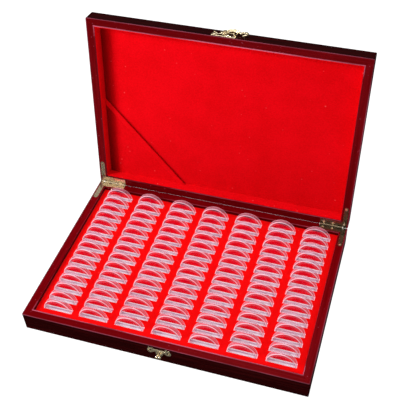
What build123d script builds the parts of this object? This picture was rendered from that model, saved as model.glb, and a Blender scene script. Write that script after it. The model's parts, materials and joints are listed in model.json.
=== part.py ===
from build123d import *
import math
import os

# A hinged wooden case whose base holds a slotted tray of round coin capsules.
# Lengths are in millimetres and angles in degrees.
# The origin is the middle of the base's underside; +X is right, -Y the front, +Z up.
# Every lid piece is drawn with the lid closed, and opened() then swings it up.

# case
case_width = 350.0
case_depth = 242.0
base_height = 27.0
lid_height = 18.5
wall = 10.2
panel_thickness = 2.5
panel_lap = 5.0
panel_play = 0.1
corner_round = 1.2
edge_round = 0.6
closed_gap = 0.2

# lining and certificate pocket in the lid
lining_thickness = 1.0
lining_play = 0.1
lining_rim_step = 0.8
pocket_run = 110.0
pocket_rise = 116.0
pocket_standoff = 0.8
pocket_thickness = 1.0
hem_width = 7.0
hem_thickness = 1.3
hem_standoff = 0.6

# coin capsules
capsule_diameter = 36.0
capsule_thickness = 5.9
coin_diameter = 30.4
capsule_face = 1.2
capsule_ring = 1.3
capsule_window_recess = 0.3
capsule_window_margin = 0.6
capsule_spigot_length = 2.2
capsule_spigot_play = 0.05
capsule_lean = 5.0
capsule_seat_gap = 0.3

# tray: a foam block with slots, and the velvet skin on top of it
tray_drop = 4.5
tray_skin = 0.6
tray_play = 0.3
slot_play = 0.2
column_pitch = 46.0
row_span = 198.0
column_counts = [15, 14, 14, 14, 14, 14, 15]

# quadrant hinges
open_angle = 98.0
hinge_offset = 0.05
leaf_thickness = 1.0
leaf_play = 0.1
leaf_leg_length = 32.0
leaf_leg_width = 8.6
leaf_arm_length = 30.0
leaf_arm_width = 6.0
barrel_radius = 1.6
barrel_play = 0.3
barrel_end_gap = 2.0
pin_radius = 0.8
pin_play = 0.05
pin_overhang = 0.3
knuckle_count = 5
knuckle_gap = 0.15
leg_screw_inset = 5.0
leg_screw_spacing = 12.0

# stays, one at each hinge
stay_radius = 11.0
stay_bar = 1.6
stay_thickness = 1.2
stay_slot_play = 0.3
stay_radial_play = 0.4
lug_thickness = 3.0
lug_arc = 3.6
lug_gap = 0.3
mortise_end_play = 2.5

# wood screws and nails
screw_head_radius = 1.7
screw_head_depth = 0.9
screw_shank_radius = 0.8
screw_length = 6.5
screw_play = 0.05
nail_head_radius = 1.1
nail_head_height = 0.35
nail_shank_radius = 0.5
nail_length = 6.0

# swing hook latch
latch_x = -1.0
plate_thickness = 1.0
hook_plate_half = 13.5
hook_plate_leg = 2.6
hook_plate_low = 0.8
hook_plate_bar = 4.2
plate_lobe_radius = 2.8
pivot_height = 9.0
pivot_radius = 1.2
pivot_play = 0.06
pivot_head_radius = 2.2
pivot_head_height = 0.9
hook_lift = 0.7
hook_thickness = 1.6
hook_head_gap = 0.2
hook_reach = 22.3
hook_eye_radius = 4.2
hook_arm_width = 4.6
hook_arch = 5.6
hook_end_radius = 4.6
hook_tip_radius = 2.3
hook_throat_play = 0.35
hook_throat_flare = 0.7
catch_half = 14.0
catch_bar = 5.0
catch_bar_height = 18.6
catch_lobe_radius = 4.1
catch_boss_radius = 4.6
catch_point_radius = 1.3
stud_neck_radius = 1.3
stud_neck_length = 2.6
stud_head_radius = 2.8
stud_head_length = 3.2

# sizes that follow from the ones above
inner_width = case_width - 2 * wall
inner_depth = case_depth - 2 * wall
closed_lid_bottom = base_height + closed_gap
closed_lid_top = closed_lid_bottom + lid_height
lining_top = closed_lid_top - panel_thickness
lining_face = lining_top - lining_thickness
pin_y = case_depth / 2 + hinge_offset
pin_z = base_height + closed_gap / 2
pin_axis = Axis((0, pin_y, pin_z), (-1, 0, 0))
tray_top = base_height - tray_drop
capsule_radius = capsule_diameter / 2
lean_cos = math.cos(math.radians(capsule_lean))
lean_sin = math.sin(math.radians(capsule_lean))
capsule_half_rise = capsule_radius * lean_cos + capsule_thickness / 2 * lean_sin
capsule_z = panel_thickness + capsule_seat_gap + capsule_half_rise
lug_drop = leaf_thickness + closed_gap / 2 + lug_gap
lug_start = math.degrees(math.asin(lug_drop / (stay_radius - stay_bar / 2)))
arm_x = case_width / 2 - wall / 2
leg_inner_x = arm_x - leaf_leg_length
barrel_outer_x = arm_x - barrel_end_gap
arm_screw_y = case_depth / 2 - leaf_arm_length
leg_screw_y = case_depth / 2 - leaf_leg_width / 2
pivot_z = closed_lid_bottom + pivot_height
stud_z = pivot_z - hook_reach
front_y = -case_depth / 2


def opened(shape):
    return shape.rotate(pin_axis, open_angle)


def save(name, *solids):
    shape = solids[0] if len(solids) == 1 else Compound(children=list(solids))
    shape.label = name
    export_step(shape, f"parts/{name}.step")


def block(width, depth, low_z, high_z, x=0.0, y=0.0):
    return Pos(x, y, (low_z + high_z) / 2) * Box(width, depth, high_z - low_z)


def front_plane(x, z):
    # x right, y up, and outwards from the front face of the case
    return Plane(origin=(x, front_y, z), x_dir=(1, 0, 0), z_dir=(0, -1, 0))


# ---- wooden frames ----

def lies_outside(point):
    # past the middle of the wall on any side
    return abs(point.X) > (inner_width + wall) / 2 or abs(point.Y) > (inner_depth + wall) / 2


def frame_ring(low_z, high_z, cut_z):
    # the saw cut that parts the lid from the base leaves its outer edges square
    ring = block(case_width, case_depth, low_z, high_z) - block(inner_width, inner_depth, low_z, high_z)
    upright = ring.edges().filter_by(Axis.Z)
    corners = upright.filter_by(lambda e: abs(e.center().X) > (inner_width + wall) / 2)
    ring = fillet(corners, corner_round)
    flat_edges = ring.edges().filter_by(lambda e: abs(e.bounding_box().size.Z) < 1e-6)
    outer_edges = flat_edges.filter_by(lambda e: lies_outside(e.center()))
    cut_edges = outer_edges.filter_by(lambda e: abs(e.center().Z - cut_z) < 1e-6)
    return fillet(flat_edges - cut_edges, edge_round)


def rail_sector(side, low_z, high_z):
    # the mitred share of the frame that belongs to one side
    reach = wall / 2
    out_x = case_width / 2 + reach
    out_y = case_depth / 2 + reach
    in_x = inner_width / 2 - reach
    in_y = inner_depth / 2 - reach
    corners = {
        "front": [(-out_x, -out_y), (out_x, -out_y), (in_x, -in_y), (-in_x, -in_y)],
        "rear": [(out_x, out_y), (-out_x, out_y), (-in_x, in_y), (in_x, in_y)],
        "left": [(-out_x, out_y), (-out_x, -out_y), (-in_x, -in_y), (-in_x, in_y)],
        "right": [(out_x, -out_y), (out_x, out_y), (in_x, in_y), (in_x, -in_y)],
    }
    outline = make_face(Polyline(*corners[side], close=True))
    return extrude(Pos(0, 0, low_z) * outline, amount=high_z - low_z, dir=(0, 0, 1))


def panel(low_z, play):
    width = inner_width + 2 * (panel_lap - play)
    depth = inner_depth + 2 * (panel_lap - play)
    return block(width, depth, low_z, low_z + panel_thickness)


# ---- quadrant hinges, drawn on the right and mirrored to the left ----

def leaf_outline(play):
    # the L shape seen from above: a leg on the rear rail and an arm on the side rail
    leg_low = leg_inner_x - play
    leg_high = arm_x + leaf_arm_width / 2 + play
    leg = Rectangle(leg_high - leg_low, leaf_leg_width + play)
    leg = Pos((leg_low + leg_high) / 2, leg_screw_y - play / 2) * leg
    arm_rear = case_depth / 2
    arm = Rectangle(leaf_arm_width + 2 * play, arm_rear - arm_screw_y)
    arm = Pos(arm_x, (arm_screw_y + arm_rear) / 2) * arm
    tip = Pos(arm_x, arm_screw_y) * Circle(leaf_arm_width / 2 + play)
    return leg + arm + tip


def leaf_plate(low_z, play):
    return extrude(Pos(0, 0, low_z) * leaf_outline(play), amount=leaf_thickness, dir=(0, 0, 1))


def screw_places():
    first_x = leg_inner_x + leg_screw_inset
    return [
        (first_x, leg_screw_y),
        (first_x + leg_screw_spacing, leg_screw_y),
        (arm_x, arm_screw_y),
    ]


def wood_screw(x, y, face_z, into, play=0.0):
    # countersunk, its head flush with face_z; into is -1 for down and 1 for up
    head = Cone(screw_shank_radius + play, screw_head_radius + play, screw_head_depth)
    shank = Cylinder(screw_shank_radius + play, screw_length)
    head = Pos(0, 0, -screw_head_depth / 2) * head
    shank = Pos(0, 0, -screw_length / 2) * shank
    screw = head + shank
    if into > 0:
        screw = Rot(180, 0, 0) * screw
    return Pos(x, y, face_z) * screw


def along_x(radius, low_x, high_x):
    return Pos((low_x + high_x) / 2, pin_y, pin_z) * Rot(0, 90, 0) * Cylinder(radius, high_x - low_x)


def knuckle_spans():
    pitch = (barrel_outer_x - leg_inner_x) / knuckle_count
    spans = []
    for index in range(knuckle_count):
        low_x = leg_inner_x + index * pitch + knuckle_gap / 2
        spans.append((low_x, low_x + pitch - knuckle_gap))
    return spans


def arc_bar(inner, outer, thickness, start, end):
    # a bar bent about the pin; angles run upwards from the front
    centre = (pin_y, pin_z)
    long_edge = CenterArc(centre, outer, 180 - end, end - start)
    short_edge = CenterArc(centre, inner, 180 - end, end - start)
    ends = [Line(long_edge @ 0, short_edge @ 0), Line(long_edge @ 1, short_edge @ 1)]
    section = make_face([long_edge, short_edge, *ends])
    return Pos(arm_x, 0, 0) * extrude(Plane.YZ * section, amount=thickness / 2, both=True)


def barrel_room():
    end_room = pin_overhang + leaf_play
    return along_x(barrel_radius + barrel_play, leg_inner_x - end_room, barrel_outer_x + end_room)


def hinge_leaf(low_z, share):
    # share 0 takes the odd knuckles and share 1 the even ones
    leaf = leaf_plate(low_z, 0) - barrel_room()
    tab_reach = barrel_radius + barrel_play
    for index, (low_x, high_x) in enumerate(knuckle_spans()):
        if index % 2 == share:
            tab = block(high_x - low_x, tab_reach, low_z, low_z + leaf_thickness,
                        (low_x + high_x) / 2, pin_y - tab_reach / 2)
            leaf += tab + along_x(barrel_radius, low_x, high_x)
    leaf -= along_x(pin_radius + pin_play, leg_inner_x - wall, arm_x)
    slot_near = stay_radius - stay_bar / 2 - stay_radial_play
    slot_far = stay_radius + stay_bar / 2 + stay_radial_play
    slot_width = stay_thickness + 2 * stay_slot_play
    leaf -= block(slot_width, slot_far - slot_near, low_z, low_z + leaf_thickness,
                  arm_x, pin_y - (slot_near + slot_far) / 2)
    return leaf


def stay_mortise(sign):
    # the curved pocket in the wood that swallows the stay; sign is -1 in the base, 1 in the lid
    inner = stay_radius - stay_bar / 2 - stay_radial_play
    outer = stay_radius + stay_bar / 2 + stay_radial_play
    deepest = open_angle / 2 + lug_start + lug_arc + mortise_end_play
    start, end = (-deepest, 0) if sign < 0 else (0, deepest)
    return arc_bar(inner, outer, lug_thickness + 2 * stay_slot_play, start, end)


def stay():
    inner = stay_radius - stay_bar / 2
    outer = stay_radius + stay_bar / 2
    low = -lug_start - lug_arc
    high = open_angle + lug_start + lug_arc
    bar = arc_bar(inner, outer, stay_thickness, low, high)
    bar += arc_bar(inner, outer, lug_thickness, low, low + lug_arc)
    bar += arc_bar(inner, outer, lug_thickness, high - lug_arc, high)
    return bar


def both_sides(shape):
    return {"right": shape, "left": mirror(shape, about=Plane.YZ)}


# ---- capsules ----

def capsule_body():
    # a shallow cup that opens towards +Z
    half = capsule_thickness / 2
    rim_z = half - capsule_face
    cup = Pos(0, 0, (rim_z - half) / 2) * Cylinder(capsule_radius, rim_z + half)
    hollow_low = -half + capsule_face
    cup -= Pos(0, 0, (hollow_low + rim_z) / 2) * Cylinder(capsule_radius - capsule_ring, rim_z - hollow_low)
    return cup - window_recess(-half + capsule_window_recess / 2)


def capsule_cap():
    # the lid of the capsule, with a spigot that slips inside the cup
    half = capsule_thickness / 2
    face = Pos(0, 0, half - capsule_face / 2) * Cylinder(capsule_radius, capsule_face)
    spigot_outer = capsule_radius - capsule_ring - capsule_spigot_play
    spigot_z = half - capsule_face - capsule_spigot_length / 2
    spigot = Cylinder(spigot_outer, capsule_spigot_length)
    spigot -= Cylinder(coin_diameter / 2, capsule_spigot_length)
    return face + Pos(0, 0, spigot_z) * spigot - window_recess(half - capsule_window_recess / 2)


def window_recess(z):
    return Pos(0, 0, z) * Cylinder(coin_diameter / 2 - capsule_window_margin, capsule_window_recess)


def column_x(column):
    return (column - (len(column_counts) - 1) / 2) * column_pitch


def row_y(column, row):
    pitch = row_span / (column_counts[column] - 1)
    return -row_span / 2 + row * pitch


def capsule_place(column, row):
    # the cup's open side faces the rear, and the disc leans back
    return Pos(column_x(column), row_y(column, row), capsule_z) * Rot(-90 - capsule_lean, 0, 0)


def tray_layer(low_z, high_z):
    body = block(inner_width - 2 * tray_play, inner_depth - 2 * tray_play, low_z, high_z)
    slot = Box(capsule_diameter + 2 * slot_play, 3 * base_height, capsule_thickness + 2 * slot_play)
    slots = [
        capsule_place(column, row) * slot
        for column, count in enumerate(column_counts)
        for row in range(count)
    ]
    return body - slots


# ---- latch ----

def stud(x, z, radius, start, length):
    # a round bar that stands out of the front face, from start outwards
    return extrude(front_plane(x, z).offset(start) * Circle(radius), amount=length)


def nail(x, z, play=0.0):
    head = stud(x, z, nail_head_radius, plate_thickness, nail_head_height)
    return head + stud(x, z, nail_shank_radius + play, plate_thickness, -nail_length)


def hook_plate_nails():
    z = pivot_z + plate_lobe_radius / 2
    return [(latch_x - hook_plate_half, z), (latch_x + hook_plate_half, z)]


def catch_nails():
    offset = catch_half - catch_lobe_radius / 2
    return [(latch_x - offset, catch_bar_height), (latch_x + offset, catch_bar_height)]


def drill(plate, places):
    for x, z in places:
        plate -= stud(x, z, nail_shank_radius + screw_play, 0, plate_thickness)
    return plate


def hook_plate():
    # a bracket with two legs down to the rim and a bar between two lobes
    bar = Pos(0, plate_lobe_radius / 2) * Rectangle(2 * hook_plate_half, hook_plate_bar)
    outline = bar + Circle(hook_eye_radius)
    leg_top = plate_lobe_radius / 2
    leg_low = hook_plate_low - pivot_height
    for side in (-1, 1):
        outline += Pos(side * hook_plate_half, plate_lobe_radius / 2) * Circle(plate_lobe_radius)
        leg_x = side * (hook_plate_half - hook_plate_leg / 2)
        outline += Pos(leg_x, (leg_top + leg_low) / 2) * Rectangle(hook_plate_leg, leg_top - leg_low)
    plate = extrude(front_plane(latch_x, pivot_z) * outline, amount=plate_thickness)
    plate -= stud(latch_x, pivot_z, pivot_radius + pivot_play, 0, plate_thickness)
    return drill(plate, hook_plate_nails())


def hook_pivot():
    shank_length = plate_thickness + hook_lift + hook_thickness + hook_head_gap
    shank = stud(latch_x, pivot_z, pivot_radius, 0, shank_length)
    return shank + stud(latch_x, pivot_z, pivot_head_radius, shank_length, pivot_head_height)


def hook():
    # an arched arm from the eye to a claw whose throat opens towards the rim
    throat = stud_neck_radius + hook_throat_play
    eye = Circle(hook_eye_radius)
    arm_path = ThreePointArc((0, 0), (hook_reach / 2, hook_arch), (hook_reach, hook_end_radius / 2))
    arm = SlotArc(arm_path, hook_arm_width)
    claw = Pos(hook_reach, 0) * Circle(hook_end_radius)
    tip = Pos(hook_reach + hook_end_radius, -hook_tip_radius / 2) * Circle(hook_tip_radius)
    outline = eye + arm + claw + tip
    outline -= Pos(hook_reach, 0) * Circle(throat)
    mouth = Rectangle(2 * throat + hook_throat_flare, 2 * hook_end_radius)
    outline -= Pos(hook_reach - hook_throat_flare / 2, -hook_end_radius) * mouth
    outline -= Circle(pivot_radius + pivot_play)
    hook_plane = front_plane(latch_x, pivot_z).offset(plate_thickness + hook_lift)
    return extrude(hook_plane * outline, amount=hook_thickness)


def catch_plate():
    bar_shift = catch_bar_height - stud_z
    bar = Rectangle(2 * (catch_half - catch_lobe_radius), catch_bar)
    outline = Circle(catch_boss_radius) + Pos(0, bar_shift) * bar
    for side in (-1, 1):
        lobe_x = side * (catch_half - catch_lobe_radius)
        outline += Pos(lobe_x, bar_shift) * Circle(catch_lobe_radius)
        for step in (-1, 1):
            point_x = lobe_x + step * catch_lobe_radius / 2
            outline += Pos(point_x, bar_shift + catch_lobe_radius) * Circle(catch_point_radius)
    plate = extrude(front_plane(latch_x, stud_z) * outline, amount=plate_thickness)
    plate -= stud(latch_x, stud_z, stud_neck_radius, 0, plate_thickness)
    return drill(plate, catch_nails())


def catch_stud():
    neck_length = plate_thickness + stud_neck_length
    neck = stud(latch_x, stud_z, stud_neck_radius, 0, neck_length)
    head = stud(latch_x, stud_z, stud_head_radius, neck_length, stud_head_length)
    outer_edge = head.edges().sort_by(Axis.Y)[0]
    return neck + fillet(outer_edge, stud_head_length / 2)


# ---- build ----

os.makedirs("parts", exist_ok=True)

hinge_faces = {"base": (base_height, -1), "lid": (closed_lid_bottom, 1)}
frames = {"base": (0, base_height), "lid": (closed_lid_bottom, closed_lid_top)}
nail_places = {"base": catch_nails(), "lid": hook_plate_nails()}

for body, (low_z, high_z) in frames.items():
    place = opened if body == "lid" else (lambda shape: shape)
    face_z, into = hinge_faces[body]
    leaf_low = face_z - leaf_thickness if into < 0 else face_z
    panel_low = 0 if body == "base" else lining_top

    ring = frame_ring(low_z, high_z, face_z) - panel(panel_low, 0)
    cuts = [leaf_plate(leaf_low, leaf_play), stay_mortise(into), barrel_room()]
    cuts += [wood_screw(x, y, face_z, into, screw_play) for x, y in screw_places()]
    for cut in cuts:
        for mirrored in both_sides(cut).values():
            ring -= mirrored
    for x, z in nail_places[body]:
        ring -= nail(x, z, screw_play)
    for side in ("front", "rear", "left", "right"):
        save(f"{body}_{side}_rail", place(ring & rail_sector(side, low_z, high_z)))
    save(f"{body}_panel", place(panel(panel_low, panel_play)))

    leaf = hinge_leaf(leaf_low, 0 if body == "base" else 1)
    screws = []
    for x, y in screw_places():
        leaf -= wood_screw(x, y, face_z, into, screw_play)
        screws += both_sides(wood_screw(x, y, face_z, into)).values()
    for side, mirrored in both_sides(leaf).items():
        save(f"{side}_hinge_{body}_leaf", place(mirrored))
    save(f"hinge_{body}_screws", *[place(screw) for screw in screws])

pin = along_x(pin_radius, leg_inner_x - pin_overhang, barrel_outer_x + pin_overhang)
save("hinge_pins", *both_sides(pin).values())
for side, mirrored in both_sides(stay()).items():
    save(f"{side}_stay", mirrored)

save("lid_lining", opened(block(inner_width - 2 * lining_play, inner_depth - 2 * lining_play,
                                lining_face, lining_top)))
strip_low = closed_lid_bottom + lining_rim_step
strip_x = inner_width / 2 - lining_play - lining_thickness / 2
strip_y = inner_depth / 2 - lining_play - lining_thickness / 2
side_strip = block(lining_thickness, inner_depth - 2 * lining_play, strip_low, lining_face, strip_x)
save("lid_side_lining_strips", *[opened(strip) for strip in both_sides(side_strip).values()])
end_strip = block(2 * strip_x - lining_thickness, lining_thickness, strip_low, lining_face)
save("lid_end_lining_strips", *[opened(Pos(0, sign * strip_y, 0) * end_strip) for sign in (-1, 1)])

pocket_x = -strip_x + lining_thickness / 2
pocket_y = strip_y - lining_thickness / 2
pocket_corners = [(pocket_x, pocket_y), (pocket_x, pocket_y - pocket_rise), (pocket_x + pocket_run, pocket_y)]
pocket_face = make_face(Polyline(*pocket_corners, close=True))
pocket_low = lining_face - pocket_standoff - pocket_thickness
pocket = extrude(Pos(0, 0, pocket_low) * pocket_face, amount=pocket_thickness, dir=(0, 0, 1))
hem_length = math.hypot(pocket_run, pocket_rise)
hem_shrink = hem_width * hem_length / pocket_run / pocket_rise
inner_corners = [
    (pocket_x, pocket_y),
    (pocket_x, pocket_y - pocket_rise * (1 - hem_shrink)),
    (pocket_x + pocket_run * (1 - hem_shrink), pocket_y),
]
hem_face = pocket_face - make_face(Polyline(*inner_corners, close=True))
hem_low = lining_face - hem_standoff - hem_thickness
hem = extrude(Pos(0, 0, hem_low) * hem_face, amount=hem_thickness, dir=(0, 0, 1))
save("corner_pocket", opened(pocket + hem))

save("tray_insert", tray_layer(panel_thickness, tray_top - tray_skin))
save("tray_velvet", tray_layer(tray_top - tray_skin, tray_top))
body_shape = capsule_body()
cap_shape = capsule_cap()
for column, count in enumerate(column_counts):
    number = column + 1
    places = [capsule_place(column, row) for row in range(count)]
    save(f"loose_capsule_body_{number}", places[0] * body_shape)
    save(f"loose_capsule_cap_{number}", places[0] * cap_shape)
    save(f"capsule_bodies_column_{number}", *[place * body_shape for place in places[1:]])
    save(f"capsule_caps_column_{number}", *[place * cap_shape for place in places[1:]])

save("hook_plate", opened(hook_plate()))
save("hook_plate_nails", *[opened(nail(x, z)) for x, z in hook_plate_nails()])
save("hook_pivot", opened(hook_pivot()))
save("hook", opened(hook()))
save("catch_plate", catch_plate())
save("catch_plate_nails", *[nail(x, z) for x, z in catch_nails()])
save("catch_stud", catch_stud())
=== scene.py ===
import json
import math

import bpy
from mathutils import Matrix, Vector


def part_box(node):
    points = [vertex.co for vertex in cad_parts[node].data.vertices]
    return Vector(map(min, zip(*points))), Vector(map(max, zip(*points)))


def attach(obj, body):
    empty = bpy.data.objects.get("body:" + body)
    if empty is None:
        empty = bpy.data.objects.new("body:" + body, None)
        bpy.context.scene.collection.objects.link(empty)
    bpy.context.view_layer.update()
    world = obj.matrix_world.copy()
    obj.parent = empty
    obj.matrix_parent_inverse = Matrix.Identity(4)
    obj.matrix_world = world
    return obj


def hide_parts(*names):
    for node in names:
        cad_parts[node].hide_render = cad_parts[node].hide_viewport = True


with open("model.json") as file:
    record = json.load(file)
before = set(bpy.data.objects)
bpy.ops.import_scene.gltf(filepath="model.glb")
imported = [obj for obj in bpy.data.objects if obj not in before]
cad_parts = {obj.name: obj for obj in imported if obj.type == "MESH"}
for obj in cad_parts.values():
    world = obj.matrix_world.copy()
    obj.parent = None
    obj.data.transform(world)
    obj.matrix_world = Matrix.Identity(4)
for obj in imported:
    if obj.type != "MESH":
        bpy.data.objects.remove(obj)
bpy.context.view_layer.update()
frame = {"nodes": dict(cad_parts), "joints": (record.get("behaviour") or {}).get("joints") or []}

mm = 0.001
nodes = frame["nodes"]
joints = {joint["name"]: joint for joint in frame["joints"]}
print("frame loaded:", len(nodes), "CAD nodes")


# ---- the case's own sizes, read from the frame ----

lidJoint = joints["lid_hinge"]
pin = Vector(lidJoint["pos_m"])
openAngle = math.radians(-lidJoint["range_deg"][0])
toOpen = Matrix.Translation(pin) @ Matrix.Rotation(-openAngle, 4, "X") @ Matrix.Translation(-pin)
toShut = toOpen.inverted()


def shutBox(*names):
    # corners of the box round some lid nodes, with the lid swung shut
    points = [toShut @ vertex.co for name in names for vertex in nodes[name].data.vertices]
    low = Vector([min(point[axis] for point in points) for axis in range(3)])
    high = Vector([max(point[axis] for point in points) for axis in range(3)])
    return low, high


frontRailLow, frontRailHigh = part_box("base_front_rail")
caseHalfWidth = frontRailHigh.x
caseHalfDepth = -frontRailLow.y
baseTop = frontRailHigh.z
wall = frontRailHigh.y - frontRailLow.y
lidLow, lidHigh = shutBox("lid_front_rail")


# ---- helpers for modelling ----

def focus(piece):
    bpy.ops.object.select_all(action="DESELECT")
    piece.select_set(True)
    bpy.context.view_layer.objects.active = piece


def named(name):
    piece = bpy.context.object
    piece.name = name
    piece.data.name = name
    return piece


def settle(piece):
    # puts a piece's place, turn and scale into its mesh
    focus(piece)
    bpy.ops.object.transform_apply(location=True, rotation=True, scale=True)
    return piece


def moveMesh(piece, matrix):
    piece.data.transform(matrix)
    piece.data.update()
    return piece


def slab(name, low, high):
    bpy.ops.object.select_all(action="DESELECT")
    bpy.ops.mesh.primitive_cube_add(size=1, location=(low + high) / 2, scale=high - low)
    return settle(named(name))


def disc(name, radius, low, high, sides=48):
    bpy.ops.object.select_all(action="DESELECT")
    bpy.ops.mesh.primitive_cylinder_add(
        vertices=sides, radius=radius, depth=high - low, location=(0, 0, (low + high) / 2))
    return settle(named(name))


def choose(piece, kind, test):
    # leaves the piece in edit mode with only what passes the test selected
    focus(piece)
    bpy.ops.object.mode_set(mode="EDIT")
    bpy.ops.mesh.select_mode(type=kind)
    bpy.ops.mesh.select_all(action="DESELECT")
    bpy.ops.object.mode_set(mode="OBJECT")
    mesh = piece.data
    if kind == "FACE":
        for face in mesh.polygons:
            face.select = test(face.center, face.normal)
    elif kind == "EDGE":
        for edge in mesh.edges:
            edge.select = test(*[mesh.vertices[index].co for index in edge.vertices])
    else:
        for vertex in mesh.vertices:
            vertex.select = test(vertex.co)
    bpy.ops.object.mode_set(mode="EDIT")


def done():
    bpy.ops.object.mode_set(mode="OBJECT")


def push(offset):
    bpy.ops.mesh.extrude_region_move(TRANSFORM_OT_translate={"value": offset})


def inset(width):
    bpy.ops.mesh.inset(thickness=width, depth=0)


def bevelEdges(piece, width, segments, test):
    choose(piece, "EDGE", test)
    bpy.ops.mesh.bevel(offset=width, segments=segments, affect="EDGES")
    done()


def addModifier(piece, kind, **settings):
    focus(piece)
    modifier = piece.modifiers.new(kind.title(), kind)
    for key, value in settings.items():
        setattr(modifier, key, value)
    bpy.ops.object.modifier_apply(modifier=modifier.name)


def copyOf(piece, name, matrix=Matrix.Identity(4)):
    focus(piece)
    bpy.ops.object.duplicate(linked=False)
    return moveMesh(named(name), matrix)


def joined(name, pieces):
    focus(pieces[0])
    for piece in pieces[1:]:
        piece.select_set(True)
    bpy.ops.object.join()
    return named(name)


def drop(piece):
    focus(piece)
    bpy.ops.object.delete()


def smooth(piece, degrees=40):
    focus(piece)
    bpy.ops.object.shade_smooth_by_angle(angle=math.radians(degrees))


def finishPiece(piece, body, material=None, stands=()):
    if material:
        piece.data.materials.clear()
        piece.data.materials.append(material)
    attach(piece, body)
    if stands:
        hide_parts(*stands)
    return piece


# ---- helpers for materials ----

class Wire:
    # a socket that takes part in sums

    def __init__(self, finish, socket):
        self.finish = finish
        self.socket = socket

    def sum(self, operation, *values):
        return self.finish.node("ShaderNodeMath", {"operation": operation}, dict(enumerate(values)))

    def __add__(self, other):
        return self.sum("ADD", self, other)

    def __radd__(self, other):
        return self.sum("ADD", other, self)

    def __sub__(self, other):
        return self.sum("SUBTRACT", self, other)

    def __rsub__(self, other):
        return self.sum("SUBTRACT", other, self)

    def __mul__(self, other):
        return self.sum("MULTIPLY", self, other)

    def __rmul__(self, other):
        return self.sum("MULTIPLY", other, self)

    def __abs__(self):
        return self.sum("ABSOLUTE", self)

    def atLeast(self, other):
        return self.sum("MAXIMUM", self, other)

    def atMost(self, other):
        return self.sum("MINIMUM", self, other)

    def fade(self, start, end):
        # 0 at start and 1 at end, smoothly between them
        return self.finish.node(
            "ShaderNodeMapRange", {"interpolation_type": "SMOOTHSTEP"},
            {"Value": self, "From Min": start, "From Max": end})


class Finish:
    # one material, with its principled shader

    def __init__(self, name, **sockets):
        self.material = bpy.data.materials.new(name)
        self.material.use_nodes = True
        self.tree = self.material.node_tree
        self.shader = self.tree.nodes["Principled BSDF"]
        for socket, value in sockets.items():
            self.set(socket.replace("_", " "), value)

    def node(self, kind, settings, inputs, output=0):
        made = self.tree.nodes.new(kind)
        for key, value in settings.items():
            if key == "stops":
                ramp = made.color_ramp
                for index, (place, colour) in enumerate(value):
                    stop = ramp.elements[index] if index < 2 else ramp.elements.new(place)
                    stop.position = place
                    stop.color = (*colour, 1)
            else:
                setattr(made, key, value)
        for key, value in inputs.items():
            self.plug(made.inputs[key], value)
        return Wire(self, made.outputs[output])

    def plug(self, socket, value):
        if isinstance(value, Wire):
            self.tree.links.new(value.socket, socket)
        else:
            socket.default_value = value

    def set(self, socket, value):
        self.plug(self.shader.inputs[socket], value)

    def place(self, shut=False):
        # Object coordinates; shut gives a lid piece those that it has with the lid closed
        coords = self.node("ShaderNodeTexCoord", {}, {}, "Object")
        if not shut:
            return coords
        turn = Matrix.Rotation(openAngle, 3, "X")
        return self.node("ShaderNodeMapping", {}, {
            "Vector": coords, "Location": pin - turn @ pin, "Rotation": (openAngle, 0, 0)})

    def stretched(self, coords, scale):
        return self.node("ShaderNodeMapping", {}, {"Vector": coords, "Scale": scale})

    def axes(self, coords):
        split = self.node("ShaderNodeSeparateXYZ", {}, {"Vector": coords}).socket.node
        return [Wire(self, output) for output in split.outputs]

    def noise(self, coords, scale, detail=3, roughness=0.5):
        return self.node("ShaderNodeTexNoise", {}, {
            "Vector": coords, "Scale": scale, "Detail": detail, "Roughness": roughness})

    def blend(self, share, first, second):
        made = self.node("ShaderNodeMix", {"data_type": "RGBA"}, {0: share}, 2)
        mixer = made.socket.node
        self.plug(mixer.inputs[6], first if isinstance(first, Wire) else (*first, 1))
        self.plug(mixer.inputs[7], second if isinstance(second, Wire) else (*second, 1))
        return made

    def bump(self, height, strength, distance):
        self.set("Normal", self.node("ShaderNodeBump", {}, {
            "Height": height, "Strength": strength, "Distance": distance}))


# ---- lacquered wood ----

lacquerLook = {
    "outer": (0.014, 0.0004, 0.0006),
    "outerStreak": (0.032, 0.0007, 0.0010),
    # rim tones: the top faces and inner walls, the same lacquer as outer made lighter with painted sheen
    "rim": (0.135, 0.0, 0.0014),
    "rimSheenStreak": (0.190, 0.0006, 0.0034),
    # pale edge colour: painted highlight along the edges where the lacquer is also worn; the specks use it
    # too
    "paleWearAndGlint": (0.62, 0.13, 0.21),
    "grainScale": 340,
    "grainStretch": 0.045,
    "arrisWidth": 0.95 * mm,
    "film": 0.1 * mm,
}


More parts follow.
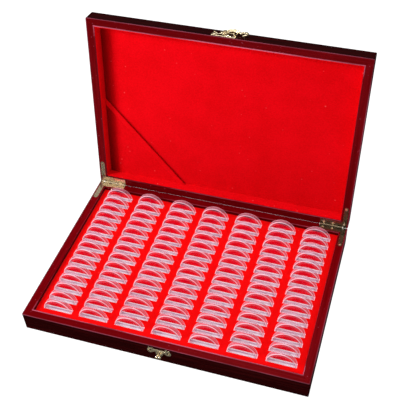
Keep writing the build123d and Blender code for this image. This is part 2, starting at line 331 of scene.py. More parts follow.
def lacquer(name, alongX, lidSide):
    look = lacquerLook
    finish = Finish(name, Roughness=0.3, Specular_IOR_Level=0.03, Coat_Roughness=0.14, Coat_IOR=1.2)
    coords = finish.place(lidSide)
    x, y, z = finish.axes(coords)
    stretch = look["grainStretch"]
    scale = (stretch, 1, 1) if alongX else (1, stretch, 1)
    drawn = finish.stretched(coords, scale)
    grain = finish.noise(drawn, look["grainScale"], 4, 0.6)
    figure = finish.noise(drawn, look["grainScale"] / 7, 2)
    streaks = (grain * 0.65 + figure * 0.35).fade(0.42, 0.66)

    # how far outside the case's inner edge, and how near the joint between lid and base
    beyondX = abs(x) - (caseHalfWidth - wall)
    beyondY = abs(y) - (caseHalfDepth - wall)
    across = beyondX.atLeast(beyondY)
    level = z - lidLow.z if lidSide else baseTop - z
    farFace = (lidHigh.z - z) if lidSide else z
    outside = across.fade(wall - 0.55 * mm, wall - 0.15 * mm)
    outside = outside.atLeast(1 - farFace.fade(0.2 * mm, 0.6 * mm))

    width = look["arrisWidth"]
    nearRim = 1 - level.fade(0.2 * mm, width + 0.35 * mm)
    innerArris = (1 - abs(across).fade(0.15 * mm, width)) * nearRim
    outerArris = (1 - abs(across - wall).fade(0.1 * mm, width)) * nearRim
    breaks = finish.noise(drawn, 160, 3, 0.7).fade(0.40, 0.60)
    chips = finish.noise(coords, 900, 2).fade(0.60, 0.72)
    # the front rail gets a stronger painted highlight line along its inner edge
    frontRubGlint = 1 - y.fade(wall * 1.6 - caseHalfDepth, wall * 2.6 - caseHalfDepth)
    # edges of the top face: painted highlight in broken lines, with the lacquer also worn rougher there
    wearAndGlint = innerArris * (breaks * 0.3 + 0.05) + outerArris * (breaks * 0.3 + 0.10)
    rubGlintLine = (1 - abs(across - 0.7 * mm).fade(0.4 * mm, 1.1 * mm)) * nearRim
    wearAndGlint = wearAndGlint + rubGlintLine * frontRubGlint * (breaks * 0.65 + 0.2)
    speck = finish.noise(coords, 420, 1, 0.3).fade(0.77, 0.79) * (1 - outside)

    mitre = 1 - abs(beyondX - beyondY).fade(0.05 * mm, 0.22 * mm)
    mitre = mitre * across.fade(0.1 * mm, 0.4 * mm) * 0.55

    outer = finish.blend(streaks, look["outer"], look["outerStreak"])
    # painted sheen: the rim tone is much lighter than the outer tone of the same lacquer
    rim = finish.blend(streaks, look["rim"], look["rimSheenStreak"])
    cloud = finish.noise(coords, 22, 2).fade(0.3, 0.7)
    rim = finish.blend(cloud * 0.35, rim, look["rimSheenStreak"])
    # painted shade: the lid's rims are made a little darker than the base's
    if lidSide:
        rim = finish.blend(0.18, rim, look["outer"])
    # painted shade: the inner walls below the top face turn towards the outer tone
    innerWallShade = level.fade(0.3 * mm, 1.4 * mm) * 0.4
    rim = finish.blend(innerWallShade, rim, look["outer"])
    colour = finish.blend(outside, rim, outer)
    colour = finish.blend(mitre, colour, look["outer"])
    colour = finish.blend((wearAndGlint + speck * 0.3).atMost(1), colour, look["paleWearAndGlint"])
    finish.set("Base Color", colour)
    finish.set("Roughness", 0.24 + streaks * 0.10 + wearAndGlint * 0.2 + chips * 0.05)
    finish.set("Coat Weight", 0.07 - wearAndGlint.atMost(1) * 0.05)
    finish.bump(streaks * 0.7 + mitre * -1.5, 0.25, 0.08 * mm)
    return finish.material


baseLong = lacquer("lacquerBaseAlong", True, False)
baseCross = lacquer("lacquerBaseAcross", False, False)
lidLong = lacquer("lacquerLidAlong", True, True)
lidCross = lacquer("lacquerLidAcross", False, True)


def giveFinish(name, material):
    slots = nodes[name].material_slots
    for slot in slots:
        slot.material = material
    if not slots:
        nodes[name].data.materials.append(material)


for side in ("front", "rear"):
    giveFinish(f"base_{side}_rail", baseLong)
    giveFinish(f"lid_{side}_rail", lidLong)
for side in ("left", "right"):
    giveFinish(f"base_{side}_rail", baseCross)
    giveFinish(f"lid_{side}_rail", lidCross)


def panelBoard(name, lidSide):
    # the plain board that closes the base or the lid, dark and satin
    finish = Finish(name, Specular_IOR_Level=0.14)
    coords = finish.place(lidSide)
    drawn = finish.stretched(coords, (lacquerLook["grainStretch"], 1, 1))
    streaks = finish.noise(drawn, lacquerLook["grainScale"] / 1.6, 4, 0.6).fade(0.4, 0.68)
    waves = finish.noise(drawn, 38, 2).fade(0.35, 0.65)
    colour = finish.blend(streaks * 0.7 + waves * 0.3, lacquerLook["outer"], lacquerLook["outerStreak"])
    finish.set("Base Color", colour)
    finish.set("Roughness", 0.3 + streaks * 0.12)
    finish.bump(streaks, 0.2, 0.06 * mm)
    return finish.material


giveFinish("base_panel", panelBoard("boardBase", False))
giveFinish("lid_panel", panelBoard("boardLid", True))


def rearFilm(name, node, body, lidSide, material):
    # the coat of lacquer on a rear face between the hinges, where base and lid nearly meet
    low, high = shutBox(node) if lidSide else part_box(node)
    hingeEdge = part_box("right_hinge_base_leaf")[0].x - 1.0 * mm
    thick = lacquerLook["film"]
    film = slab(name, Vector((-hingeEdge, high.y, low.z + (0 if lidSide else mm))),
                Vector((hingeEdge, high.y + thick, high.z - (mm if lidSide else 0))))
    bevelEdges(film, thick * 0.7, 2,
               lambda a, b: abs(a.z - b.z) < 1e-6 and abs(a.z - (high.z if lidSide else low.z)) < 1.1 * mm)
    if lidSide:
        moveMesh(film, toOpen)
    finishPiece(film, body, material)


rearFilm("rearFilmBase", "base_rear_rail", "base", False, baseLong)
rearFilm("rearFilmLid", "lid_rear_rail", "lid", True, lidLong)
print("wood lacquered")


# ---- velvet ----

velvetLook = {
    "lining": ((0.66, 0.0, 0.0015), (0.84, 0.0006, 0.0060)),
    "shade": (0.16, 0.0, 0.0006),
    "shadeWide": 17 * mm,
    "tray": ((0.93, 0.0008, 0.0012), (1.0, 0.0030, 0.0040)),
    "pileScale": 1500,
    "napScale": 26,
}


def velvet(name, tones, lidSide, wallShadow=False):
    finish = Finish(name, Roughness=0.92, Specular_IOR_Level=0.04,
                    Sheen_Weight=0.18, Sheen_Roughness=0.45, Sheen_Tint=(1.0, 0.10, 0.12, 1))
    coords = finish.place(lidSide)
    pile = finish.noise(coords, velvetLook["pileScale"], 2, 0.6)
    tufts = finish.noise(coords, velvetLook["pileScale"] / 3.5, 2)
    nap = finish.noise(coords, velvetLook["napScale"], 3, 0.55).fade(0.3, 0.7)
    dark, light = tones
    tone = (pile * 0.55 + tufts * 0.35 + nap * 0.1).fade(0.30, 0.66)
    lint = finish.noise(coords, 260, 0, 0).fade(0.84, 0.86)
    colour = finish.blend(tone, dark, light)
    if wallShadow:
        # painted shadow of the left wall: dark along it, fading out across the lining
        inward = finish.axes(coords)[0] + (caseHalfWidth - wall)
        flat = 1 - inward.fade(3 * mm, velvetLook["shadeWide"])
        colour = finish.blend(flat * 0.85, colour, velvetLook["shade"])
    finish.set("Base Color", finish.blend(lint * 0.25, colour, (0.95, 0.25, 0.25)))
    finish.bump(pile * 0.6 + tufts * 0.4, 0.5, 0.12 * mm)
    return finish.material


liningVelvet = velvet("velvetLining", velvetLook["lining"], True)
# the lining card and the pocket's cloth carry the painted shadow of the left wall
wallShadowVelvet = velvet("velvetWallShadow", velvetLook["lining"], True, True)
trayCloth = velvet("velvetTray", velvetLook["tray"], False)


# ---- foam tray and its velvet ----

trayLook = {
    "rowsPerColumn": [15, 14, 14, 14, 14, 14, 15],
    "slotPlay": 0.2 * mm,
    "velvetPlay": 0.12 * mm,
    "lipRound": 0.45 * mm,
    "foam": (0.97, 0.90, 0.93),
    "foamShade": (0.50, 0.33, 0.44),
}

lift = Vector(joints["capsule_1_lift"]["axis"])
lean = math.atan2(lift.y, lift.z)
discTurn = Matrix.Rotation(-math.pi / 2 - lean, 4, "X")


def columnPlaces(column):
    # the middle of every capsule in a column, front to rear
    low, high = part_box(f"loose_capsule_body_{column}")
    capLow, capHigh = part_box(f"loose_capsule_cap_{column}")
    low = Vector(map(min, low, capLow))
    high = Vector(map(max, high, capHigh))
    first = (low + high) / 2
    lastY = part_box(f"capsule_caps_column_{column}")[1].y - (high.y - low.y) / 2
    count = trayLook["rowsPerColumn"][column - 1]
    pitch = (lastY - first.y) / (count - 1)
    return [first + Vector((0, row * pitch, 0)) for row in range(count)]


columnCount = len(trayLook["rowsPerColumn"])
places = {column: columnPlaces(column) for column in range(1, columnCount + 1)}
capLow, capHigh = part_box("loose_capsule_cap_1")
bodyLow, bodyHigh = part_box("loose_capsule_body_1")
capsuleRadius = (capHigh.x - capLow.x) / 2
discDepth = max(capHigh.y, bodyHigh.y) - min(capLow.y, bodyLow.y)
capsuleHalf = (discDepth - 2 * capsuleRadius * math.sin(lean)) / math.cos(lean) / 2


def slotCutters(play):
    halfWide = capsuleRadius + play
    halfThick = capsuleHalf + play
    first = slab("capsuleCutter", Vector((-halfWide, -2 * capsuleRadius, -halfThick)),
                 Vector((halfWide, 2 * capsuleRadius, halfThick)))
    cutters = [
        copyOf(first, "capsuleCutterCopy", Matrix.Translation(place) @ discTurn)
        for column in places.values() for place in column
    ]
    drop(first)
    return joined("slotCutters", cutters)


def slotted(name, node, play):
    piece = slab(name, *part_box(node))
    cutters = slotCutters(play)
    addModifier(piece, "BOOLEAN", operation="DIFFERENCE", object=cutters, solver="EXACT")
    drop(cutters)
    return piece


def foamFinish():
    # painted light and shade: the foam glows, bright at the mouth of a slot and again deeper down, with a
    # painted greyer shade band between
    finish = Finish("foamWhite", Roughness=0.85, Specular_IOR_Level=0.2, Emission_Strength=0.34)
    coords = finish.place()
    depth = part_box("tray_insert")[1].z - finish.axes(coords)[2]
    shadeBand = depth.fade(1.0 * mm, 2.6 * mm) * (1 - depth.fade(4.2 * mm, 5.6 * mm))
    cells = finish.noise(coords, 1400, 2, 0.7)
    cloud = finish.noise(coords, 90, 2).fade(0.35, 0.65)
    shade = (shadeBand * (0.55 + cloud * 0.4) + cells * 0.08).atMost(1)
    colour = finish.blend(shade, trayLook["foam"], trayLook["foamShade"])
    finish.set("Base Color", colour)
    # painted light: the foam glows in its own colour
    finish.set("Emission Color", colour)
    finish.bump(cells, 0.4, 0.1 * mm)
    return finish.material


foam = slotted("trayFoam", "tray_insert", trayLook["slotPlay"])
bevelEdges(foam, 0.6 * mm, 2, lambda a, b: abs(a.x - b.x) + abs(a.y - b.y) < 1e-6
           and abs(a.x) > caseHalfWidth - 2 * wall and abs(a.y) > caseHalfDepth - 2 * wall)
finishPiece(foam, "base", foamFinish(), ["tray_insert"])

cloth = slotted("trayVelvet", "tray_velvet", trayLook["velvetPlay"])
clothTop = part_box("tray_velvet")[1].z
bevelEdges(cloth, trayLook["lipRound"], 3,
           lambda a, b: min(a.z, b.z) > clothTop - 0.01 * mm
           and (abs(a.x - b.x) < 1e-5 or abs(a.y - b.y) < 1e-5))
smooth(cloth)
finishPiece(cloth, "base", trayCloth, ["tray_velvet"])
clothLow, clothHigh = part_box("tray_velvet")
clothWide = clothHigh.x - clothLow.x
clothLong = clothHigh.y - clothLow.y
slotArea = 4 * (capsuleRadius + trayLook["velvetPlay"]) * (capsuleHalf + trayLook["velvetPlay"])
slotCount = sum(trayLook["rowsPerColumn"])
clothWide * clothLong - slotCount * slotArea
print("tray made:", slotCount, "slots")


# ---- capsules ----

capsuleLook = {
    "sides": 32,
    "face": 1.2 * mm,
    "ring": 1.3 * mm,
    "ringPlay": 0.05 * mm,
    "spigot": 2.2 * mm,
    "coinRadius": 15.2 * mm,
    "windowMargin": 0.6 * mm,
    "windowStep": 0.3 * mm,
    "round": 0.75 * mm,
    "glow": (1.0, 0.62, 0.72),
    # share of the radius, colour and opacity, from the middle out to the side wall; the pale zones at the
    # window step and on the side wall are painted highlights, the window's dark tint and the dark line at
    # 0.926 to 0.938 are painted shade
    "zones": [
        (0.0, (0.16, 0.0, 0.09), 0.065),
        (0.790, (0.16, 0.0, 0.09), 0.065),
        (0.815, (0.95, 0.50, 0.62), 0.30),
        (0.850, (0.85, 0.28, 0.42), 0.20),
        (0.910, (0.80, 0.22, 0.36), 0.18),
        (0.926, (0.06, 0.0, 0.02), 0.50),
        (0.938, (0.20, 0.02, 0.06), 0.45),
        (0.950, (1.0, 0.64, 0.75), 0.66),
        (0.994, (1.0, 0.66, 0.77), 0.72),
        (1.0, (0.95, 0.42, 0.55), 0.24),
    ],
}


def atRadius(radius, height=None):
    # a test for edges of a ring, at a height if one is given
    def test(a, b):
        onRing = abs(math.hypot(a.x, a.y) - radius) < 0.02 * mm
        onRing = onRing and abs(math.hypot(b.x, b.y) - radius) < 0.02 * mm
        return onRing and (height is None or abs(a.z - height) + abs(b.z - height) < 0.02 * mm)
    return test


def facing(z, direction):
    # a test for the round face on the axis at a height
    def test(centre, normal):
        onAxis = math.hypot(centre.x, centre.y) < 0.5 * mm
        return onAxis and abs(centre.z - z) < 0.02 * mm and normal.z * direction > 0.9
    return test


def sinkWindow(piece, z, outward):
    look = capsuleLook
    choose(piece, "FACE", facing(z, outward))
    inset(capsuleRadius - look["coinRadius"] + look["windowMargin"])
    push((0, 0, -outward * look["windowStep"]))
    done()


def capsuleCup():
    look = capsuleLook
    rim = capsuleHalf - look["face"]
    cup = disc("capsuleCup", capsuleRadius, -capsuleHalf, rim, look["sides"])
    choose(cup, "FACE", facing(rim, 1))
    inset(look["ring"])
    push((0, 0, look["face"] - capsuleHalf - rim))
    done()
    sinkWindow(cup, -capsuleHalf, -1)
    bevelEdges(cup, look["round"], 2, atRadius(capsuleRadius, -capsuleHalf))
    return cup


def capsuleCap():
    look = capsuleLook
    seat = capsuleHalf - look["face"]
    cap = disc("capsuleCap", capsuleRadius, seat, capsuleHalf, look["sides"])
    choose(cap, "FACE", facing(seat, -1))
    inset(look["ring"] + look["ringPlay"])
    push((0, 0, -look["spigot"]))
    inset(capsuleRadius - look["ring"] - look["ringPlay"] - look["coinRadius"])
    push((0, 0, look["spigot"]))
    done()
    sinkWindow(cap, capsuleHalf, 1)
    bevelEdges(cap, look["round"], 2, atRadius(capsuleRadius, capsuleHalf))
    return cap


def markReach(piece):
    # on the outside, each corner's distance from the disc's axis as a share of the radius
    look = capsuleLook
    reach = piece.data.attributes.new("reach", "FLOAT", "CORNER")
    for face in piece.data.polygons:
        across = math.hypot(face.center.x, face.center.y)
        depth = capsuleHalf - abs(face.center.z)
        onFace = depth < 0.01 * mm and across > look["ring"]
        onSide = across > capsuleRadius - look["round"] and abs(face.normal.z) < 0.95
        onStep = abs(depth - look["windowStep"] / 2) < 0.02 * mm
        for corner in face.loop_indices:
            place = piece.data.vertices[piece.data.loops[corner].vertex_index].co
            value = math.hypot(place.x, place.y) / capsuleRadius
            reach.data[corner].value = value if onFace or onSide or onStep else 0.0


def acrylic():
    look = capsuleLook
    finish = Finish("acrylicClear", IOR=1.49, Specular_IOR_Level=0.5, Emission_Strength=0.22)
    reach = finish.node("ShaderNodeAttribute", {"attribute_name": "reach"}, {}, "Fac")
    coords = finish.place()
    haze = finish.noise(coords, 55, 2).fade(0.3, 0.7)
    scuffs = finish.noise(finish.stretched(coords, (1, 1, 0.2)), 700, 2, 0.7).fade(0.62, 0.75)
    colours = [(share, colour) for share, colour, opacity in look["zones"]]
    opacities = [(share, (opacity,) * 3) for share, colour, opacity in look["zones"]]
    finish.set("Base Color", finish.node("ShaderNodeValToRGB", {"stops": colours}, {"Fac": reach}))
    opacity = finish.node("ShaderNodeValToRGB", {"stops": opacities}, {"Fac": reach})
    finish.set("Alpha", (opacity * (0.85 + haze * 0.3) + scuffs * 0.03).atMost(1))
    # painted light: a faint glow on the capsule's side wall
    finish.set("Emission Color", finish.blend(reach.fade(0.935, 0.955), (0, 0, 0), look["glow"]))
    finish.set("Roughness", 0.06 + scuffs * 0.12 + haze * 0.03)
    return finish.material


clearPlastic = acrylic()
cupShape = capsuleCup()
capShape = capsuleCap()
for shape in (cupShape, capShape):
    markReach(shape)
    smooth(shape, 35)

for column, spots in places.items():
    turned = [Matrix.Translation(spot) @ discTurn for spot in spots]
    kinds = (("Cup", "body", "bodies", cupShape), ("Cap", "cap", "caps", capShape))
    for label, single, several, shape in kinds:
        loose = copyOf(shape, f"loose{label}{column}", turned[0])
        finishPiece(loose, f"loose_capsule_{column}", clearPlastic,
                    [f"loose_capsule_{single}_{column}"])
        row = [copyOf(shape, f"row{label}", matrix) for matrix in turned[1:]]
        fixed = joined(f"column{label}s{column}", row)
        finishPiece(fixed, "base", clearPlastic, [f"capsule_{several}_column_{column}"])
drop(cupShape)
drop(capShape)
print("capsules placed:", sum(len(spots) for spots in places.values()))


# ---- lid lining ----

liningLook = {"round": 0.4 * mm, "segments": 3}


def linedBoard(name, low, high, stands, softEdge, cloth=liningVelvet):
    board = slab(name, low, high)
    bevelEdges(board, liningLook["round"], liningLook["segments"], softEdge)
    smooth(board)
    moveMesh(board, toOpen)
    finishPiece(board, "lid", cloth, stands)
    return board


cardLow, cardHigh = shutBox("lid_lining")
linedBoard("lidLining", cardLow, cardHigh,
           ["lid_lining"],
           lambda a, b: max(a.z, b.z) < cardLow.z + 0.01 * mm, wallShadowVelvet)
sideLow, sideHigh = shutBox("lid_side_lining_strips")
endLow, endHigh = shutBox("lid_end_lining_strips")
stripThick = endLow.x - sideLow.x
strips = {
    "liningStripLeft": (sideLow, Vector((endLow.x, sideHigh.y, sideHigh.z)), "lid_left_rail",
                        "lid_side_lining_strips"),
    "liningStripRight": (Vector((endHigh.x, sideLow.y, sideLow.z)), sideHigh, "lid_right_rail",
                         "lid_side_lining_strips"),
    "liningStripFront": (endLow, Vector((endHigh.x, endLow.y + stripThick, endHigh.z)), "lid_front_rail",
                         "lid_end_lining_strips"),
    "liningStripRear": (Vector((endLow.x, endHigh.y - stripThick, endLow.z)), endHigh, "lid_rear_rail",
                        "lid_end_lining_strips"),
}
for name, (low, high, rail, node) in strips.items():
    linedBoard(name, low, high, [node],
               lambda a, b: max(a.z, b.z) < sideLow.z + 0.01 * mm)


# ---- corner pocket ----

pocketLook = {
    "hem": 7.0 * mm,
    "cuts": 24,
    "cloth": 0.8 * mm,
    "gape": 0.35 * mm,
    "proud": 0.8 * mm,
    "slit": 0.2 * mm,
    "tilt": 0.4 * mm,
    "trim": 0.35,
    "wideRipple": (95, 60),
    "crossRipple": 130,
    "swell": (210, 77),
}


def cornerPocket():
    low, high = shutBox("corner_pocket")
    look = pocketLook
    run, rise = high.x - low.x, high.y - low.y
    corner = Vector((low.x, high.y))
    slant = math.atan2(rise, run)
    length = math.hypot(run, rise)
    depth = run * rise / length

    def share(point):
        # 0 at the corner of the lid and 1 on the slanting mouth
        return (point.x - corner.x) / run + (corner.y - point.y) / rise

    # the cloth, a square grid cut along the mouth
    bpy.ops.object.select_all(action="DESELECT")
    middle = (low + high) / 2
    bpy.ops.mesh.primitive_grid_add(
        x_subdivisions=look["cuts"], y_subdivisions=look["cuts"], size=1,
        location=(middle.x, middle.y, high.z - look["cloth"]))
    bpy.context.object.scale = (run, rise, 1)
    sheet = settle(named("pocketCloth"))
    focus(sheet)
    bpy.ops.object.mode_set(mode="EDIT")
    bpy.ops.mesh.select_all(action="SELECT")
    mouth = 1 - look["trim"] * look["hem"] / depth
    bpy.ops.mesh.bisect(
        plane_co=(corner.x + run * mouth, corner.y, 0), plane_no=(rise, -run, 0), clear_outer=True)
    done()
    for vertex in sheet.data.vertices:
        slack = math.sin(math.pi * min(1.0, share(vertex.co))) ** 2
        wave = vertex.co.x * look["wideRipple"][0] + vertex.co.y * look["wideRipple"][1]
        ripple = math.sin(wave) * math.sin(vertex.co.y * look["crossRipple"])
        vertex.co.z -= look["gape"] * slack * (0.6 + 0.4 * ripple)
    addModifier(sheet, "SOLIDIFY", thickness=look["cloth"] * 0.8, offset=1)
    smooth(sheet)
    moveMesh(sheet, toOpen)
    finishPiece(sheet, "lid", wallShadowVelvet, ["corner_pocket"])

    # the hem, a band folded over a cord along the mouth
    hemLow, hemHigh = low.z - look["proud"], high.z - look["slit"]
    hem = slab("pocketHem", Vector((-length / 2, -look["hem"], hemLow)), Vector((length / 2, 0, hemHigh)))
    choose(hem, "EDGE", lambda a, b: abs(a.x - b.x) > length / 2)
    bpy.ops.mesh.subdivide(number_cuts=look["cuts"])
    done()
    half = (hemHigh - hemLow) / 2
    zMiddle = (hemHigh + hemLow) / 2
    bevelEdges(hem, half * 0.85, 4, lambda a, b: abs(a.x - b.x) > 1e-6 and abs(a.y - b.y) < 1e-6)
    short, long = look["swell"]
    for vertex in hem.data.vertices:
        swell = 0.88 + 0.12 * math.sin(vertex.co.x * short) * math.sin(vertex.co.x * long)
        vertex.co.z = zMiddle + (vertex.co.z - zMiddle) * swell
        vertex.co.z -= look["tilt"] * (1 + vertex.co.y / look["hem"])
        # the ends are cut to lie against the lid's walls
        endCut = -vertex.co.y / math.tan(slant) if vertex.co.x < 0 else -vertex.co.y * math.tan(slant)
        limit = length / 2 - endCut
        vertex.co.x = max(-limit, min(limit, vertex.co.x))
    smooth(hem)
    mouthTurn = Matrix.Rotation(slant + math.pi, 4, "Z")
    mouthMiddle = Vector((corner.x + run / 2, corner.y - rise / 2, 0))
    moveMesh(hem, toOpen @ Matrix.Translation(mouthMiddle) @ mouthTurn)
    finishPiece(hem, "lid", liningVelvet, ["corner_pocket"])


cornerPocket()
print("lining and pocket made")


# ---- brass ----

brassLook = {
    "bright": (1.0, 0.83, 0.55),
    "dull": (0.12, 0.065, 0.020),
    "darkBrass": (0.060, 0.030, 0.010),
    "gapAway": 2.6 * mm,
    "gapTurns": 700,
    "gapShade": (0.01, 0.004, 0.001),
    "darkShare": 0.85,
}


def brass(name, lidSide, darkShare=0.0, leaf=False, gloss=0.2):
    finish = Finish(name, Metallic=0.85)
    coords = finish.place(lidSide)
    tarnish = finish.noise(coords, 300, 4, 0.6).fade(0.54, 0.76)
    shine = finish.blend(darkShare, brassLook["bright"], brassLook["darkBrass"])
    brushed = finish.noise(finish.stretched(coords, (0.12, 1, 1)), 1500, 2)
    colour = finish.blend(tarnish * 0.5, shine, brassLook["dull"])
    if leaf:
        # painted shade in the gaps between the leaf and the knuckles of the barrel
        x, y, z = finish.axes(coords)
        beside = 1 - abs((pin.y - y) - brassLook["gapAway"]).fade(0.3 * mm, 0.8 * mm)
        dashes = x.sum("SINE", x * brassLook["gapTurns"]).fade(-0.5, 0.1)
        colour = finish.blend(beside * dashes * 0.9, colour, brassLook["gapShade"])
    finish.set("Base Color", colour)
    finish.set("Roughness", gloss + tarnish * 0.22 + brushed * 0.06)
    finish.bump(brushed * 0.4 + tarnish * 0.6, 0.25, 0.05 * mm)
    return finish.material


baseBrass = brass("brassBase", False)
lidBrass = brass("brassLid", True)
# the stays and the right hinge's leaves get a darker brass than the left hinge
darkBaseBrass = brass("brassBaseDark", False, brassLook["darkShare"])
giveFinish("left_hinge_base_leaf", brass("brassLeafBase", False, 0.0, True))
giveFinish("left_hinge_lid_leaf", brass("brassLeafLid", True, 0.0, True))
giveFinish("right_hinge_base_leaf", brass("brassLeafBaseDark", False, brassLook["darkShare"], True))
giveFinish("right_hinge_lid_leaf", brass("brassLeafLidDark", True, brassLook["darkShare"], True))
for side in ("left", "right"):
    giveFinish(f"{side}_stay", darkBaseBrass)
giveFinish("hinge_pins", baseBrass)


# ---- slotted screws ----

screwLook = {
    "head": 2.1 * mm,
    "proud": 0.05 * mm,
    "sink": 1.3 * mm,
    "slotWide": 0.55 * mm,
    "slotDeep": 0.5 * mm,
    "apart": 6 * mm,
    "sides": 28,
    "turns": [0.5, 1.9, 2.7, 1.1, 0.2, 2.2],
}


def screwShape():
    # a countersunk head with a driver's slot, point downwards
    look = screwLook
    head = disc("screwShape", look["head"], -look["sink"], 0, look["sides"])
    choose(head, "FACE", lambda centre, normal: normal.z < -0.9)
    bpy.ops.transform.resize(value=(0.45, 0.45, 1))
    done()
    choose(head, "FACE", lambda centre, normal: normal.z > 0.9)
    inset(look["head"] * 0.2)
    push((0, 0, look["proud"]))
    bpy.ops.transform.resize(value=(0.8, 0.8, 1))
    done()
    low = Vector((-look["head"] * 2, -look["slotWide"] / 2, look["proud"] - look["slotDeep"]))
    high = Vector((look["head"] * 2, look["slotWide"] / 2, look["slotDeep"]))
    cutter = slab("driverSlot", low, high)
    addModifier(head, "BOOLEAN", operation="DIFFERENCE", object=cutter, solver="EXACT")
    drop(cutter)
    smooth(head, 35)
    return head


def clusters(name, lidSide):
    # the middle of each separate screw in a node, and the box of its points
    turn = toShut if lidSide else Matrix.Identity(4)
    found = []
    for vertex in nodes[name].data.vertices:
        point = turn @ vertex.co
        for group in found:
            if (group[0] - point).xy.length < screwLook["apart"]:
                group.append(point)
                break
        else:
            found.append([point])
    boxes = []
    for group in found:
        low = Vector([min(point[axis] for point in group) for axis in range(3)])
        high = Vector([max(point[axis] for point in group) for axis in range(3)])
        boxes.append(((low + high) / 2, low, high))
    return boxes


def placeScrews(name, node, body, lidSide, material):
    shape = screwShape()
    turns = screwLook["turns"]
    copies = []
    for index, (middle, low, high) in enumerate(clusters(node, lidSide)):
        face = low.z if lidSide else high.z
        flip = Matrix.Rotation(math.pi, 4, "X") if lidSide else Matrix.Identity(4)
        turn = Matrix.Rotation(turns[index % len(turns)], 4, "Z")
        place = Matrix.Translation((middle.x, middle.y, face)) @ flip @ turn
        copies.append(copyOf(shape, name + "Copy", place))
    drop(shape)
    print(name, "made:", len(copies), "screws")
    screws = joined(name, copies)
    if lidSide:
        moveMesh(screws, toOpen)
    finishPiece(screws, body, material, [node])


placeScrews("hingeBaseScrews", "hinge_base_screws", "base", False, baseBrass)
placeScrews("hingeLidScrews", "hinge_lid_screws", "lid", True, lidBrass)
print("hinges and screws finished")


# ---- cast latch: strokes and knobs, melted together ----

castLook = {
    "voxel": 0.22 * mm,
    "smooth": 4,
    "plateLevel": 0.55,
    "hookLevel": 2.5,
    "catchFlat": 0.5,
}


def stroke(points, thick):
    # a round bar through points on the front face, each (x, z, how far out)
    bars = []
    for first, second in zip(points, points[1:]):
        start = Vector((first[0], -first[2], first[1])) * mm
        end = Vector((second[0], -second[2], second[1])) * mm
        bar = disc("bar", thick * mm, 0, (end - start).length, 12)
        turn = (end - start).to_track_quat("Z", "Y").to_matrix().to_4x4()
        bars.append(moveMesh(bar, Matrix.Translation(start) @ turn))
        bars.append(knob(first, thick, thick))
    bars.append(knob(points[-1], thick, thick))
    return bars


def knob(place, radius, depth):
    bpy.ops.object.select_all(action="DESELECT")
    bpy.ops.mesh.primitive_uv_sphere_add(segments=16, ring_count=8, radius=1)
    ball = settle(named("knob"))
    scale = Matrix.Diagonal((radius * mm, depth * mm, radius * mm, 1))
    return moveMesh(ball, Matrix.Translation(Vector((place[0], -place[2], place[1])) * mm) @ scale)


def sweep(centre, radius, start, end, thick, level, steps=10, rise=0.0):
    # a bar bent round a centre, from one angle to another in degrees, that may arch outwards
    points = []
    for step in range(steps + 1):
        share = step / steps
        angle = math.radians(start + (end - start) * share)
        points.append((centre[0] + radius * math.cos(angle), centre[1] + radius * math.sin(angle),
                       level + rise * math.sin(math.pi * share)))
    return stroke(points, thick)


def casting(name, parts, shift, body, lidSide, material, stands, flat=1.0):
    # welds the strokes into one skin and sets it on the front face of the case
    piece = joined(name, parts)
    addModifier(piece, "REMESH", mode="VOXEL", voxel_size=castLook["voxel"], use_smooth_shade=True)
    addModifier(piece, "SMOOTH", iterations=castLook["smooth"], factor=0.5)
    moveMesh(piece, Matrix.Translation(shift) @ Matrix.Diagonal((1, flat, 1, 1)))
    if lidSide:
        moveMesh(piece, toOpen)
    return finishPiece(piece, body, material, stands)


frontFace = -caseHalfDepth
latchX = joints["hook_swing"]["pos_m"][0]
pivotShut = toShut @ Vector(joints["hook_swing"]["pos_m"])


def hookPlateParts():
    # x from the pivot, height from the pivot
    out = castLook["plateLevel"]
    parts = stroke([(-14.2, -7.6, out), (13.2, -7.6, out)], 0.65)
    parts += stroke([(-14.2, -7.2, out), (-14.4, -3.6, out)], 1.05)
    parts += stroke([(13.2, -7.2, out), (13.0, -3.2, out)], 1.1)
    parts += stroke([(-14.4, -4.6, out), (-9.6, -4.4, out), (-6.6, -2.0, out), (-3.4, -0.6, out)], 0.75)
    parts += sweep((-11.6, -1.6), 2.2, 30, 240, 0.7, out)
    parts += stroke([(-5.4, 1.2, out), (0.6, -4.6, out), (4.4, -6.6, out)], 0.75)
    parts += stroke([(-0.8, 0.8, out), (3.4, -3.4, out), (8.6, -5.6, out)], 0.7)
    parts += sweep((7.4, -1.6), 4.4, -30, 190, 0.75, out)
    parts += stroke([(11.4, -3.0, out), (13.0, -4.4, out)], 0.9)
    parts += sweep((0, 0), 2.7, 0, 360, 0.8, out, 16)
    parts += [knob((-4.8, 1.4, 0.8), 1.5, 1.0), knob((9.8, 2.0, 0.8), 1.3, 0.9)]
    parts += [knob((5.4, 2.6, 0.8), 1.3, 0.9)]
    parts += [knob((-14.4, -7.4, 0.6), 1.35, 0.8), knob((13.3, -7.4, 0.6), 1.35, 0.8)]
    return parts


def hookParts():
    # the swinging hook, which points right when the latch is undone
    level = castLook["hookLevel"]
    parts = [knob((0, 0, level), 3.2, 0.8)]
    parts += sweep((0, 0), 3.3, 0, 360, 0.75, level, 16)
    parts += sweep((9.8, -7.0), 12.6, 148, 42, 1.05, level, 12, 1.8)
    parts += sweep((10.2, -3.4), 7.4, 150, 50, 0.85, level, 10, 0.8)
    parts += stroke([(14.6, 4.0, level), (18.4, 2.6, level), (20.0, 4.4, level)], 0.8)
    parts += sweep((23.1, 0.9), 4.1, 120, -100, 1.05, level, 12, 1.0)
    parts += [knob((20.2, 4.4, level + 0.2), 1.7, 1.2), knob((24.4, 4.6, level + 0.2), 1.6, 1.2)]
    parts += [knob((27.2, 1.2, level + 0.2), 1.6, 1.1), knob((6.4, 4.6, level + 0.2), 1.5, 1.0)]
    return parts


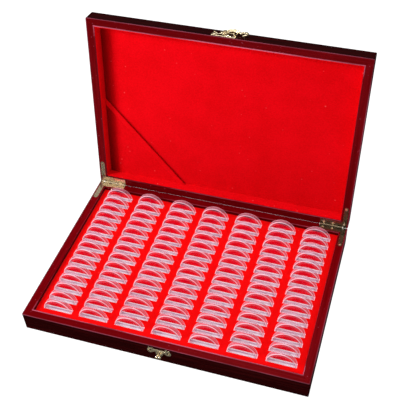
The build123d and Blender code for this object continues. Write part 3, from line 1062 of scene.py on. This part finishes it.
def catchParts():
    # x from the stud, height above the table
    out = castLook["plateLevel"]
    parts = stroke([(-8.4, 20.2, out), (8.4, 20.2, out)], 1.6)
    parts += stroke([(-8.0, 18.6, out), (-3.0, 17.4, out), (3.0, 17.4, out), (8.0, 18.6, out)], 0.9)
    for side in (-1, 1):
        lobe = (side * 10.6, 18.6)
        parts += sweep(lobe, 2.9, 0, 360, 1.3, out, 18, 0.3)
        parts += stroke([(side * 9.4, 21.4, out), (side * 9.0, 23.6, 0.9)], 1.1)
        parts += stroke([(side * 12.0, 21.2, out), (side * 12.4, 23.2, 0.9)], 1.1)
        parts += [knob((side * 9.0, 24.2, 0.9), 1.0, 0.9), knob((side * 12.4, 23.8, 0.9), 1.0, 0.9)]
        parts += [knob((side * 7.2, 22.0, 0.8), 0.95, 0.8), knob((side * 13.4, 17.0, 0.9), 1.15, 1.0)]
        parts += [knob((side * 10.6, 15.4, 0.8), 1.1, 1.0)]
    parts += sweep((0, 14.4), 3.8, 150, 390, 0.85, out, 14)
    parts += stroke([(-3.2, 14.0, out), (0, 12.6, out), (3.2, 14.0, out)], 0.7)
    return parts


def studParts():
    # the catch's knob in two lobes on a short neck
    parts = stroke([(0, 13.9, -1.0), (0, 13.9, 4.0)], 1.25)
    parts += [knob((-1.6, 13.4, 5.0), 2.1, 1.7), knob((1.8, 13.9, 5.0), 2.0, 1.7)]
    parts += [knob((-0.9, 15.4, 4.4), 1.4, 1.3)]
    return parts


pivotShift = Vector((latchX, frontFace, pivotShut.z))
casting("hookPlateCast", hookPlateParts(), pivotShift, "lid", True, lidBrass, ["hook_plate"])
casting("hookCast", hookParts(), pivotShift, "hook", True, lidBrass, ["hook"])
baseShift = Vector((latchX, frontFace, 0))
casting("catchPlateCast", catchParts(), baseShift, "base", False, baseBrass, ["catch_plate"],
        castLook["catchFlat"])
casting("catchStudCast", studParts(), baseShift, "base", False, baseBrass, ["catch_stud"])
giveFinish("hook_pivot", lidBrass)
giveFinish("hook_plate_nails", lidBrass)
giveFinish("catch_plate_nails", baseBrass)
print("latch cast")


# ---- studio ----

studioLook = {
    "azimuth": math.radians(17.97),
    "elevation": math.radians(45.64),
    "roll": math.radians(-1.81),
    "distance": 922.6 * mm,
    "aim": Vector((0, 0, 35 * mm)),
    "across": 31.7 * mm,
    "up": 63.5 * mm,
    "lens": 66.7,
    "shiftX": -0.0433,
    "shiftY": 0.036,
    "floorSize": 14,
    "floorDrop": 0.2 * mm,
    "room": {"From Min": -0.05, "From Max": 0.5, "To Min": 0.01, "To Max": 0.16},
}


def makeCamera():
    look = studioLook
    azimuth, elevation = look["azimuth"], look["elevation"]
    back = Vector((math.sin(azimuth) * math.cos(elevation),
                   -math.cos(azimuth) * math.cos(elevation), math.sin(elevation)))
    right = Vector((math.cos(azimuth), math.sin(azimuth), 0))
    up = back.cross(right)
    turn = Matrix((right, up, back)).transposed() @ Matrix.Rotation(look["roll"], 3, "Z")
    bpy.ops.object.camera_add()
    camera = named("studioCamera")
    camera.rotation_mode = "QUATERNION"
    camera.rotation_quaternion = turn.to_quaternion()
    camera.location = (look["aim"] + back * look["distance"] + turn.col[0] * look["across"]
                       + turn.col[1] * look["up"])
    camera.data.lens = look["lens"]
    camera.data.sensor_width = 36
    camera.data.shift_x = look["shiftX"]
    camera.data.shift_y = look["shiftY"]
    camera.data.clip_start = 0.01
    bpy.context.scene.camera = camera


def softbox(name, place, target, size, power, colour=(1, 1, 1)):
    bpy.ops.object.light_add(type="AREA", location=place)
    lamp = named(name)
    lamp.rotation_mode = "QUATERNION"
    lamp.rotation_quaternion = (Vector(target) - Vector(place)).to_track_quat("-Z", "Y")
    lamp.data.shape = "RECTANGLE"
    lamp.data.size, lamp.data.size_y = size
    lamp.data.energy = power
    lamp.data.color = colour


makeCamera()
softbox("keyLight", (-1.7, -1.0, 1.25), (0, 0.05, 0.08), (0.6, 0.6), 44)
softbox("topLight", (0.1, 0.3, 2.2), (0, 0, 0), (1.6, 1.2), 24)
softbox("frontLight", (-0.3, -2.2, 1.3), (0, 0.1, 0.12), (1.2, 0.8), 4)

bpy.ops.mesh.primitive_plane_add(size=studioLook["floorSize"], location=(0, 0, -studioLook["floorDrop"]))
floor = named("studioFloor")
floorFinish = Finish("floorPaper", Roughness=0.9, Specular_IOR_Level=0.1, Emission_Strength=1.0)
floorFinish.set("Base Color", (0.2, 0.2, 0.2, 1))
floorFinish.set("Emission Color", (1, 1, 1, 1))
floor.data.materials.append(floorFinish.material)
floor.visible_glossy = False

world = bpy.data.worlds.new("studioRoom")
bpy.context.scene.world = world
world.use_nodes = True
room = world.node_tree
height = room.nodes.new("ShaderNodeSeparateXYZ")
room.links.new(room.nodes.new("ShaderNodeTexCoord").outputs["Generated"], height.inputs[0])
glow = room.nodes.new("ShaderNodeMapRange")
room.links.new(height.outputs["Z"], glow.inputs["Value"])
for socket, value in studioLook["room"].items():
    glow.inputs[socket].default_value = value
room.nodes["Background"].inputs["Color"].default_value = (1, 1, 1, 1)
room.links.new(glow.outputs["Result"], room.nodes["Background"].inputs["Strength"])
bpy.context.scene.view_settings.view_transform = "Standard"
bpy.context.scene.cycles.transparent_max_bounces = 48
print("studio lit")
